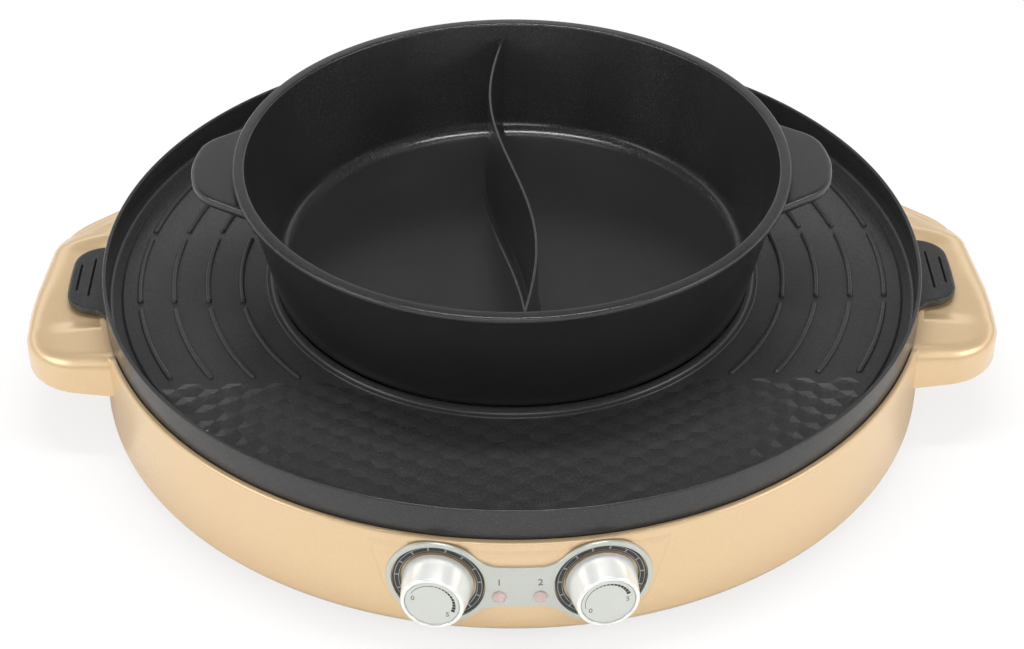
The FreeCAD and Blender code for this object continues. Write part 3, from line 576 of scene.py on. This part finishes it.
rise_to_rim = rim_level - dial_height - 1.6
plate_end, plate_waist, plate_blend = 23.3, 11.5, 16.0
fascia_end, fascia_waist, fascia_blend = 25.3, 13.5, 14.0
corner_turns = np.array([math.pi - math.atan2(rise, dial_middle)
                         for rise in (plate_waist, -plate_waist, rise_to_rim, -fascia_waist)])
panel_turn = np.unique(np.concatenate([np.arange(720) * 2 * np.pi / 720, corner_turns - 1e-5,
                                       corner_turns + 1e-5]))
plate_out = housing_radius + 2.2
plate_hole = 21.0
plate_grid = panel_grid(
    dumbbell_reach(panel_turn, plate_end, plate_waist, plate_blend), panel_turn,
    [(0.0, plate_out - 1.3), (0.0, plate_out - 0.35), (-0.15, plate_out - 0.08), (-0.45, plate_out),
     (-0.9, plate_out - 0.05)], plate_out, (plate_hole + 0.3, plate_out - 0.05),
    [(plate_hole, plate_out - 0.2), (plate_hole, plate_out - 1.6)])
plate = add_panel("silver_plate", plate_grid, satin_silver, "silver_trim")
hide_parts("dial_plate")

fascia_out = housing_radius + 1.0
dial_recess = 0.6
lean = math.radians(-14.1)
signed_turn = (panel_turn + np.pi) % (2 * np.pi) - np.pi
slant_reach = fascia_end / np.maximum(np.cos(np.minimum(signed_turn - lean, 1.5)), 0.02)
top_reach = rise_to_rim / np.maximum(np.sin(signed_turn), 1e-6)
middle_reach = dial_middle / np.maximum(-np.cos(signed_turn), 1e-9)
upper_reach = np.where(signed_turn > 0.02, np.minimum(slant_reach, top_reach), slant_reach)
lower_reach = dumbbell_reach(panel_turn, fascia_end, fascia_waist, fascia_blend)
fascia_grid = panel_grid(
    np.where(signed_turn > lean, np.minimum(upper_reach, middle_reach), lower_reach), panel_turn,
    [(0.0, fascia_out - 1.2), (0.0, fascia_out - 0.45), (-0.2, fascia_out - 0.12), (-0.5, fascia_out)],
    fascia_out, (plate_hole + 0.4, fascia_out),
    [(reach, fascia_out - dial_recess) for reach in (plate_hole + 0.2, 10.0, 0.0)])
sunk = eased(fascia_grid[..., 2], rim_level - 9.0, rim_level - 2.0)
fascia_radius = np.hypot(fascia_grid[..., 0], fascia_grid[..., 1])
fascia_radius += (np.minimum(fascia_radius, housing_radius - 0.4) - fascia_radius) * sunk
fascia_grid[..., 1] = -np.sqrt(fascia_radius ** 2 - fascia_grid[..., 0] ** 2)
fascia = add_panel("front_piece", fascia_grid, champagne, "gold_plastic")
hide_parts("control_fascia")


def on_panel(points, turn, height=dial_height):
    """Points (across, up, out) of a dial laid on the front: out points away from the cooker's axis."""
    across, up, out = points.T
    return np.stack([across * math.cos(turn) + out * math.sin(turn),
                     across * math.sin(turn) - out * math.cos(turn), height + up], axis=-1)


def add_on_panel(name, form, turn, *paint, height=dial_height, smooth=35.0):
    """Piece from points (across, up, out) and faces, laid on the front."""
    return add_piece(name, on_panel(form[0], turn, height), form[1], *paint, smooth=smooth)


def ring_pieces(inner, outer, starts, stops, back, front, steps):
    """Flat arc-shaped bars between two radii: points (across, up, out) and faces, one bar for each start."""
    share = np.linspace(0.0, 1.0, steps)
    turn = (starts[:, None] + (stops - starts)[:, None] * share)[..., None]
    inner = np.broadcast_to(np.asarray(inner, float).reshape(-1, 1, 1), turn.shape)
    outer = np.broadcast_to(np.asarray(outer, float).reshape(-1, 1, 1), turn.shape)
    radius = np.concatenate([inner, outer, outer, inner], axis=-1)
    level = np.broadcast_to(np.array([back, back, front, front]), radius.shape)
    points = np.stack([radius * np.cos(turn), radius * np.sin(turn), level], axis=-1)
    bar_faces = [list(face) for face in grid_faces(steps, 4, close_columns=True)]
    bar_faces += [[3, 2, 1, 0], [4 * steps - 4, 4 * steps - 3, 4 * steps - 2, 4 * steps - 1]]
    count = 4 * steps
    faces = [[k * count + corner for corner in face] for k in range(len(starts)) for face in bar_faces]
    return points.reshape(-1, 3), faces


tick_count = 15
tick_gap = math.radians(2.6)
tick_starts = np.arange(tick_count) * 2 * np.pi / tick_count + math.radians(80.0)
dial_level = housing_radius + 0.1
ring_inside, ring_outside = 17.2, 20.7
dial_turns = 128
for name, turn in (("hotpot", -dial_angle), ("grill", dial_angle)):
    base = rounded_line([(ring_inside, dial_level - 0.4, 0.0), (ring_outside, dial_level - 0.4, 0.0),
                         (ring_outside, dial_level + 0.55, 0.1), (ring_inside, dial_level + 0.55, 0.1)],
                        steps=2)
    dial = add_on_panel(name + "_dial_ring", turned_form(base, dial_turns), turn, ring_grey, "cooker_base",
                        "ring_black")
    if name == "hotpot":
        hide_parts("dial_rings")
    bars = ring_pieces(18.0, 19.6, tick_starts, tick_starts + 2 * np.pi / tick_count - tick_gap,
                       dial_level + 0.5, dial_level + 0.66, 12)
    add_on_panel(name + "_dial_ticks", bars, turn, ring_black, "cooker_base", "ring_black", smooth=0)
    for part, inner, outer in (("outer", 20.0, ring_outside), ("inner", ring_inside, 17.6)):
        line = rounded_line([(inner, dial_level + 0.4, 0.0), (outer, dial_level + 0.4, 0.0),
                             (outer, dial_level + 0.72, 0.05), (inner, dial_level + 0.72, 0.05)], steps=2)
        add_on_panel(name + "_dial_" + part + "_line", turned_form(line, dial_turns), turn, ring_black,
                     "cooker_base", "ring_black")

# Pilot lamps: a pale pink cut lens above each side of the waist, with a plain number beside it that says
# which knob it belongs to.
lens_pink = new_finish("lens_pink", linear(236, 206, 202), 0.12, speck_share=0.02, relief=0.0,
                       transmission_weight=0.25, coat_weight=0.5)
print_grey = new_finish("print_grey", linear(92, 94, 94), 0.5, speck_share=0.05)
lamp_angle = math.radians(2.5)
lamp_height = 29.8
lens_profile = np.array([(0.0, housing_inside), (3.3, housing_inside), (3.3, plate_out + 0.45),
                         (2.4, plate_out + 1.05), (1.1, plate_out + 1.25), (0.0, plate_out + 1.3)])


def number_form(digits, size, depth, place):
    """Mesh of plain figures about a place on the dial's plane: points (across, up, out) and faces."""
    text_curve = bpy.data.curves.new("figures", "FONT")
    text_curve.body = digits
    text_curve.size = size
    text_curve.extrude = depth / 2
    text_curve.align_x = "CENTER"
    text_curve.align_y = "CENTER"
    text_object = bpy.data.objects.new("figures", text_curve)
    bpy.context.scene.collection.objects.link(text_object)
    bpy.context.view_layer.update()
    text_mesh = bpy.data.meshes.new_from_object(text_object)
    points = np.empty(len(text_mesh.vertices) * 3)
    text_mesh.vertices.foreach_get("co", points)
    faces = [list(face.vertices) for face in text_mesh.polygons]
    bpy.data.objects.remove(text_object)
    bpy.data.curves.remove(text_curve)
    bpy.data.meshes.remove(text_mesh)
    return points.reshape(-1, 3) + np.array(place), faces


lens_sides = 8
number_height = 38.2
for name, turn, digits in (("hotpot", -lamp_angle, "1"), ("grill", lamp_angle, "2")):
    lens = add_on_panel(name + "_lamp_lens_cut", turned_form(lens_profile, lens_sides), turn, lens_pink,
                        "cooker_base", "lens_pink", height=lamp_height, smooth=0)
    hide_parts(name + "_lamp_lens")
    figure = number_form(digits, 5.2, 0.12, (0.0, 0.0, plate_out - 0.03))
    add_on_panel(name + "_number", figure, turn, print_grey, "cooker_base", "silver_trim",
                 height=number_height, smooth=0)

# Knobs: tapered and silver-coated, with a rounded rim round an inset disc. A printed scale on the disc
# grows clockwise from a thin line to broad bars, with a plain number at each end.
knob_silver = new_finish("knob_silver", linear(246, 247, 243), 0.2, metallic=0.3, cloud_share=0.02,
                         speck_share=0.02, relief=0.003, coat_weight=0.3, coat_roughness=0.08)
knob_face = new_finish("knob_face", linear(212, 215, 208), 0.42, metallic=0.45, cloud_share=0.02,
                       speck_share=0.05, relief=0.005)
scale_black = new_finish("scale_black", linear(40, 42, 40), 0.5, speck_share=0.05)
knob_back = housing_radius + 1.02
knob_front = housing_radius + 16.0
knob_base_radius, knob_face_radius = 16.5, 14.15
cap_seat = knob_front - 1.5
cap_radius = 12.15
knob_turns, cap_turns = 128, 96
knob_profile = rounded_line([
    (0.0, knob_back, 0.0), (knob_base_radius, knob_back, 0.5), (knob_base_radius - 0.3, knob_back + 1.6, 1.5),
    (knob_face_radius, knob_front, 1.2), (cap_radius + 0.35, knob_front, 0.7),
    (cap_radius + 0.15, cap_seat + 0.1, 0.0), (0.0, cap_seat, 0.0)], steps=8)
cap_profile = rounded_line([(0.0, cap_seat, 0.0), (cap_radius, cap_seat, 0.0),
                            (cap_radius, knob_front - 0.55, 0.25), (0.0, knob_front - 0.5, 0.0)], steps=4)
scale_level = knob_front - 0.52
scale_sweep = math.radians(174.0)
bar_count = 12
thin_share = 0.34
scale_outside = 10.55
for name, turn, scale_start in (("hotpot", -dial_angle, math.radians(152.0)),
                                ("grill", dial_angle, math.radians(193.0))):
    body = name + "_control"
    knob = add_on_panel(name + "_knob_body", turned_form(knob_profile, knob_turns), turn, knob_silver, body,
                        "knob_silver")
    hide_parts(name + "_knob")
    cap = add_on_panel(name + "_knob_disc", turned_form(cap_profile, cap_turns), turn, knob_face, body,
                       "knob_cap_silver")
    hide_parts(name + "_knob_cap")
    bar = np.arange(bar_count)
    bar_start = scale_start - scale_sweep * (thin_share + (1 - thin_share) * bar / bar_count)
    bar_stop = bar_start - scale_sweep * (1 - thin_share) / bar_count * 0.8
    bar_width = 0.3 + 1.35 * (bar / (bar_count - 1)) ** 1.3
    starts = np.concatenate([[scale_start], bar_start])
    stops = np.concatenate([[scale_start - scale_sweep * thin_share], bar_stop])
    inner = scale_outside - np.concatenate([[0.2], bar_width])
    bars = ring_pieces(inner, scale_outside, starts, stops, scale_level - 0.05, scale_level + 0.06, 10)
    add_on_panel(name + "_scale", bars, turn, scale_black, body, "knob_cap_silver", smooth=0)
    for digits, place, reach in (("0", scale_start + math.radians(13.0), 8.9),
                                 ("5", scale_start - scale_sweep - math.radians(16.0), 8.7)):
        figure = number_form(digits, 3.6, 0.1, (reach * math.cos(place), reach * math.sin(place),
                                                scale_level))
        add_on_panel(name + "_scale_" + digits, figure, turn, print_grey, body, "knob_cap_silver", smooth=0)

# Grill pan: die-cast aluminium with a charcoal non-stick coat that has a fine sparkle. A gutter runs round
# the grill floor, a low collar stands round the opening for the pot, and a flat ear grips on each side.
nonstick = new_finish("nonstick", linear(46, 46, 47), 0.24, cloud_size=30.0, cloud_share=0.08,
                      speck_size=2600.0, speck_share=1.0, roughness_share=0.12, relief=0.055,
                      specular_ior_level=0.52)
pan_rim = pan_high[2]
grill_floor = pan_rim - 13.6
gutter_floor = grill_floor - 1.7
wall_inside = pan_radius - 2.0
grill_radius = wall_inside - 6.3
collar_radius = 118.9
collar_outside = collar_radius + 4.4
collar_top = grill_floor + 3.6
pan_profile = rounded_line([
    (pan_radius, pan_seat, 1.4), (pan_radius, pan_rim, 0.9), (wall_inside, pan_rim, 0.9),
    (wall_inside, gutter_floor, 2.4), (grill_radius, gutter_floor, 1.0),
    (grill_radius - 0.9, grill_floor, 1.0), (collar_outside, grill_floor, 1.2),
    (collar_outside, collar_top, 2.8), (collar_radius, collar_top, 0.7), (collar_radius, pan_seat, 0.4)])
pan_turns = 384
pan = add_piece("pan_dish", *turned_form(pan_profile, pan_turns), nonstick, "pan", "nonstick")
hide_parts("grill_pan")

ear_tip = pan_high[0]
ear_low = pan_low[2]
ear_top = ear_low + 4.0
ear_steps = 140
ear_line, ear_out = along_line([(pan_radius - 3.0, -35.0, 0.0), (pan_radius + 2.0, -28.6, 3.0),
                                (ear_tip - 0.9, -24.0, 15.0), (ear_tip, 0.0, 260.0),
                                (ear_tip - 0.9, 24.0, 15.0), (pan_radius + 2.0, 28.6, 3.0),
                                (pan_radius - 3.0, 35.0, 0.0)], ear_steps)


def tab_section(low, high, radius, count):
    """Edge of a flat tab: a half-round of the given radius at its lower and its upper corner."""
    turn = np.linspace(0.0, np.pi / 2, 5)
    lower = np.stack([radius * (1 - np.sin(turn)), low + radius * (1 - np.cos(turn))], axis=-1)
    upper = np.stack([radius * (1 - np.cos(turn)), high - radius * (1 - np.sin(turn))], axis=-1)
    edge = np.concatenate([[(radius + 0.8, low)], lower, upper, [(radius + 0.8, high)]])
    return np.broadcast_to(edge[:, None], (len(edge), count, 2))


ear_grid = shelf_grid(ear_line, ear_out, tab_section(ear_low, ear_top, 1.3, ear_steps), pan_radius - 1.0)
for side, (points, faces) in zip(("right", "left"), both_sides(ear_grid)):
    add_piece("pan_ear_" + side, points, faces, nonstick, "pan", "nonstick")

# Ear slots: the ear stays solid, and a thin matt near-black strip lies on its top over each slot. The strip
# is painted shade in place of the dark inside the opening, with almost no reflection.
slot_painted_shade = new_finish("slot_painted_shade", linear(14, 14, 14), 0.9, speck_share=0.1, specular_ior_level=0.1)
slot_width, slot_steps = 1.2, 64
slot_floor, slot_face = ear_top - 0.3, ear_top + 0.02
for side, sign in (("right", 1), ("left", -1)):
    for name, place, length in (("outer", ear_tip - 4.9, 23.0), ("inner", ear_tip - 11.4, 33.0)):
        slot_line = rounded_box_line(slot_width, length, 0.58, slot_steps)
        rows = [np.stack([sign * (place + slot_line[:, 0] * share), slot_line[:, 1] * (0.95 + 0.05 * share),
                          np.full(slot_steps, level)], axis=-1)
                for share, level in ((1.0, slot_floor), (1.0, slot_face), (0.0, slot_face),
                                     (0.0, slot_floor))]
        add_piece("ear_slot_shade_" + name + "_" + side, np.concatenate(rows),
                  grid_faces(len(rows), slot_steps, True, True), slot_painted_shade, "pan", "nonstick")

# Ribs of the grill: four concentric rows on each side, each of three half-round bars with tapered ends. They
# are cast with the pan's floor and carry its coat.
rib_rows = 4
rib_half = 1.5
rib_height = 1.6
rib_root = -0.3
zone_half = 91.0
rib_gap = 5.0
bar_length = (2 * zone_half - 2 * rib_gap) / 3
first_row = collar_outside + 13.7
row_pitch = (grill_radius - 9.3 - first_row) / (rib_rows - 1)
row_radius = np.repeat(first_row + row_pitch * np.arange(rib_rows), 3)
bar_low = np.tile(-zone_half + (bar_length + rib_gap) * np.arange(3), rib_rows)
bar_start = np.arcsin(bar_low / row_radius)
bar_stop = np.arcsin((bar_low + bar_length) / row_radius)
bar_share = np.concatenate([np.linspace(0.0, 0.03, 7)[:-1], np.linspace(0.03, 0.97, 36),
                            np.linspace(0.97, 1.0, 7)[1:]])
bar_turn = bar_start[:, None] + (bar_stop - bar_start)[:, None] * bar_share
end_room = np.minimum(bar_share, 1 - bar_share) * bar_length / rib_half
bar_size = np.sqrt(1 - (1 - np.clip(end_room, 0.0, 1.0)) ** 2)
round_turn = np.linspace(0.0, np.pi, 9)
across = np.concatenate([rib_half * np.cos(round_turn), [-rib_half, rib_half]])
height = np.concatenate([rib_height * np.sin(round_turn), [rib_root, rib_root]])
bar_reach = row_radius[:, None, None] + across * bar_size[None, :, None]
bar_level = grill_floor + np.where(height > 0, height * bar_size[None, :, None], height)
rib_points = np.stack([bar_reach * np.cos(bar_turn)[..., None], bar_reach * np.sin(bar_turn)[..., None],
                       np.broadcast_to(bar_level, bar_reach.shape)], axis=-1)
one_rib = grid_faces(len(bar_share), len(across), close_columns=True)
for side, sign in (("right", 1.0), ("left", -1.0)):
    points = rib_points.reshape(-1, 3) * np.array([sign, 1.0, 1.0])
    faces = (one_rib[None] + (np.arange(len(row_radius)) * len(bar_share) * len(across))[:, None, None])
    add_piece("grill_ribs_" + side, points, faces.reshape(-1, 4), nonstick, "pan", "nonstick")

# Honeycomb of the grill floor, front and back: low six-sided bosses, each with a small flat top, cast in the
# same floor. The cells stop at the collar, at the gutter and at the ribs.
cell_side = 6.9
column_pitch = 1.5 * cell_side
row_step = math.sqrt(3) * cell_side
zone_edge = 94.5
cell_shift_x, cell_shift_y = 1.5, 3.0
cell_rise = 0.5
top_share = 0.28
column, row = np.meshgrid(np.arange(-20, 21), np.arange(-18, 19), indexing="ij")
cell_x = (column * column_pitch).ravel() + cell_shift_x
cell_y = ((row + 0.5 * (column % 2)) * row_step).ravel() + cell_shift_y
cell_reach = np.hypot(cell_x, cell_y)
kept = ((cell_reach > collar_outside + 1.0) & (cell_reach < grill_radius - 0.5)
        & (np.abs(cell_y) > zone_edge - 1.0))
cell_x, cell_y = cell_x[kept], cell_y[kept]
corner_turn = np.arange(6) * np.pi / 3
corner_reach = cell_side * np.repeat([1.0, top_share], 6)
hex_x = cell_x[:, None] + corner_reach * np.tile(np.cos(corner_turn), 2)
hex_y = cell_y[:, None] + corner_reach * np.tile(np.sin(corner_turn), 2)
side_of_zone = np.sign(cell_y)[:, None]
hex_y = np.where(side_of_zone * hex_y < zone_edge, side_of_zone * zone_edge, hex_y)
hex_reach = np.hypot(hex_x, hex_y)
hex_scale = np.clip(hex_reach, collar_outside + 0.6, grill_radius - 2.0) / hex_reach
hex_level = np.broadcast_to(np.repeat([grill_floor + 0.04, grill_floor + cell_rise], 6), hex_x.shape)
hex_points = np.stack([hex_x * hex_scale, hex_y * hex_scale, hex_level], axis=-1)
first_corner = 12 * np.arange(len(cell_x))[:, None, None]
hex_sides = (first_corner + grid_faces(2, 6, close_columns=True)).reshape(-1, 4)
hex_tops = (first_corner + 6 + np.arange(6)).reshape(-1, 6)
add_piece("grill_honeycomb", hex_points.reshape(-1, 3), hex_sides.tolist() + hex_tops.tolist(), nonstick,
          "pan", "nonstick", closed=False, smooth=0)

# Pot: die-cast aluminium with the same coat, a rounded inner corner, a flat lip and two flat ears
# cast on just under the lip.
pot_coat = new_finish("pot_coat", linear(34, 34, 34), 0.20, cloud_size=30.0, cloud_share=0.06,
                      speck_size=2800.0, speck_share=0.9, roughness_share=0.1, relief=0.05,
                      specular_ior_level=0.75)
pot_low, pot_high = (np.array(corner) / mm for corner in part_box("hot_pot"))
pot_base, pot_top = pot_low[2], pot_high[2]
pot_foot_radius = 118.9
pot_taper = 0.23
pot_wall = 2.8
pot_floor = pot_base + 6.5
lip_radius = pot_high[1]


def pot_outside(level):
    """Outer radius of the tapered wall at a height."""
    return pot_foot_radius + pot_taper * (level - pot_base)


lip_low = pot_top - 3.2
pot_corner = 8.0
pot_turns = 320
pot_profile = rounded_line([
    (0.0, pot_base, 0.0), (pot_outside(pot_base), pot_base, 5.0),
    (pot_outside(lip_low), lip_low, 1.0), (lip_radius, lip_low, 0.9),
    (lip_radius, pot_top, 1.3), (pot_outside(pot_top) - pot_wall, pot_top, 1.3),
    (pot_outside(pot_floor) - pot_wall, pot_floor, pot_corner), (0.0, pot_floor, 0.0)], steps=10)
pot = add_piece("pot_bowl", *turned_form(pot_profile, pot_turns), pot_coat, "pot", "nonstick")
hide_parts("hot_pot")
pot_ear_tip = pot_high[0]
pot_ear_top = pot_top - 5.5
handle_line, handle_out = along_line([
    (124.0, -43.5, 0.0), (pot_ear_tip - 4.0, -23.5, 25.0), (pot_ear_tip, 0.0, 50.0),
    (pot_ear_tip - 4.0, 23.5, 23.0), (124.0, 43.5, 0.0)], ear_steps)
handle_grid = shelf_grid(handle_line, handle_out, tab_section(pot_ear_top - 5.5, pot_ear_top, 1.6, ear_steps),
                         pot_outside(pot_ear_top) - 1.6)
for side, (points, faces) in zip(("right", "left"), both_sides(handle_grid)):
    add_piece("pot_ear_" + side, points, faces, pot_coat, "pot", "nonstick")

# Divider: a thin wall cast in the pot, an S seen from above, with a flared foot and a rounded top edge. It
# runs from wall to wall and parts the two broths.
divider_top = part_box("pot_divider")[1][2] / mm
wave = 128.0
swing = 8.9
slant = 0.0207
half_width = 0.75
flare = 8.0
foot_spread = 3.2
edge_radius = 0.75
levels_up = np.concatenate([[pot_floor - 0.5], pot_floor + flare * np.linspace(0.0, 1.0, 9) ** 1.4,
                            np.linspace(pot_floor + flare + 3.0, divider_top - edge_radius - 0.05, 14),
                            divider_top - edge_radius + edge_radius * np.sin(np.linspace(0.2, np.pi / 2, 5))])
above = np.clip((levels_up - pot_floor) / flare, 0.0, 1.0)
wall_half = half_width + 0.012 * (divider_top - levels_up) + foot_spread * (1 - np.sqrt(1 - (1 - above) ** 2))
edge_round = np.clip((levels_up - (divider_top - edge_radius)) / edge_radius, 0.0, 1.0)
wall_half = wall_half * np.sqrt(np.maximum(1 - edge_round ** 2, 0.0))
levels = np.concatenate([levels_up, levels_up[::-1]])
sideways = np.concatenate([wall_half, -wall_half[::-1]])
end_reach = pot_outside(levels) - pot_wall + 0.8
corner_in = np.clip((pot_floor + pot_corner - levels) / pot_corner, 0.0, 1.0)
end_reach -= pot_corner * (1 - np.sqrt(1 - corner_in ** 2)) - 1.0 * corner_in
share = np.linspace(-1.0, 1.0, 161)
wall_y = end_reach[:, None] * share
wall_x = -(swing * np.sin(np.pi * wall_y / wave) + slant * wall_y)
slope = -(swing * np.pi / wave * np.cos(np.pi * wall_y / wave) + slant)
tilt = np.sqrt(1 + slope ** 2)
divider_points = np.stack([wall_x + sideways[:, None] / tilt, wall_y - sideways[:, None] * slope / tilt,
                           np.broadcast_to(levels[:, None], wall_x.shape)], axis=-1)
divider = add_piece("divider_wall", divider_points.reshape(-1, 3), capped_faces(*wall_x.shape), pot_coat,
                    "pot", "nonstick")
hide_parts("pot_divider")
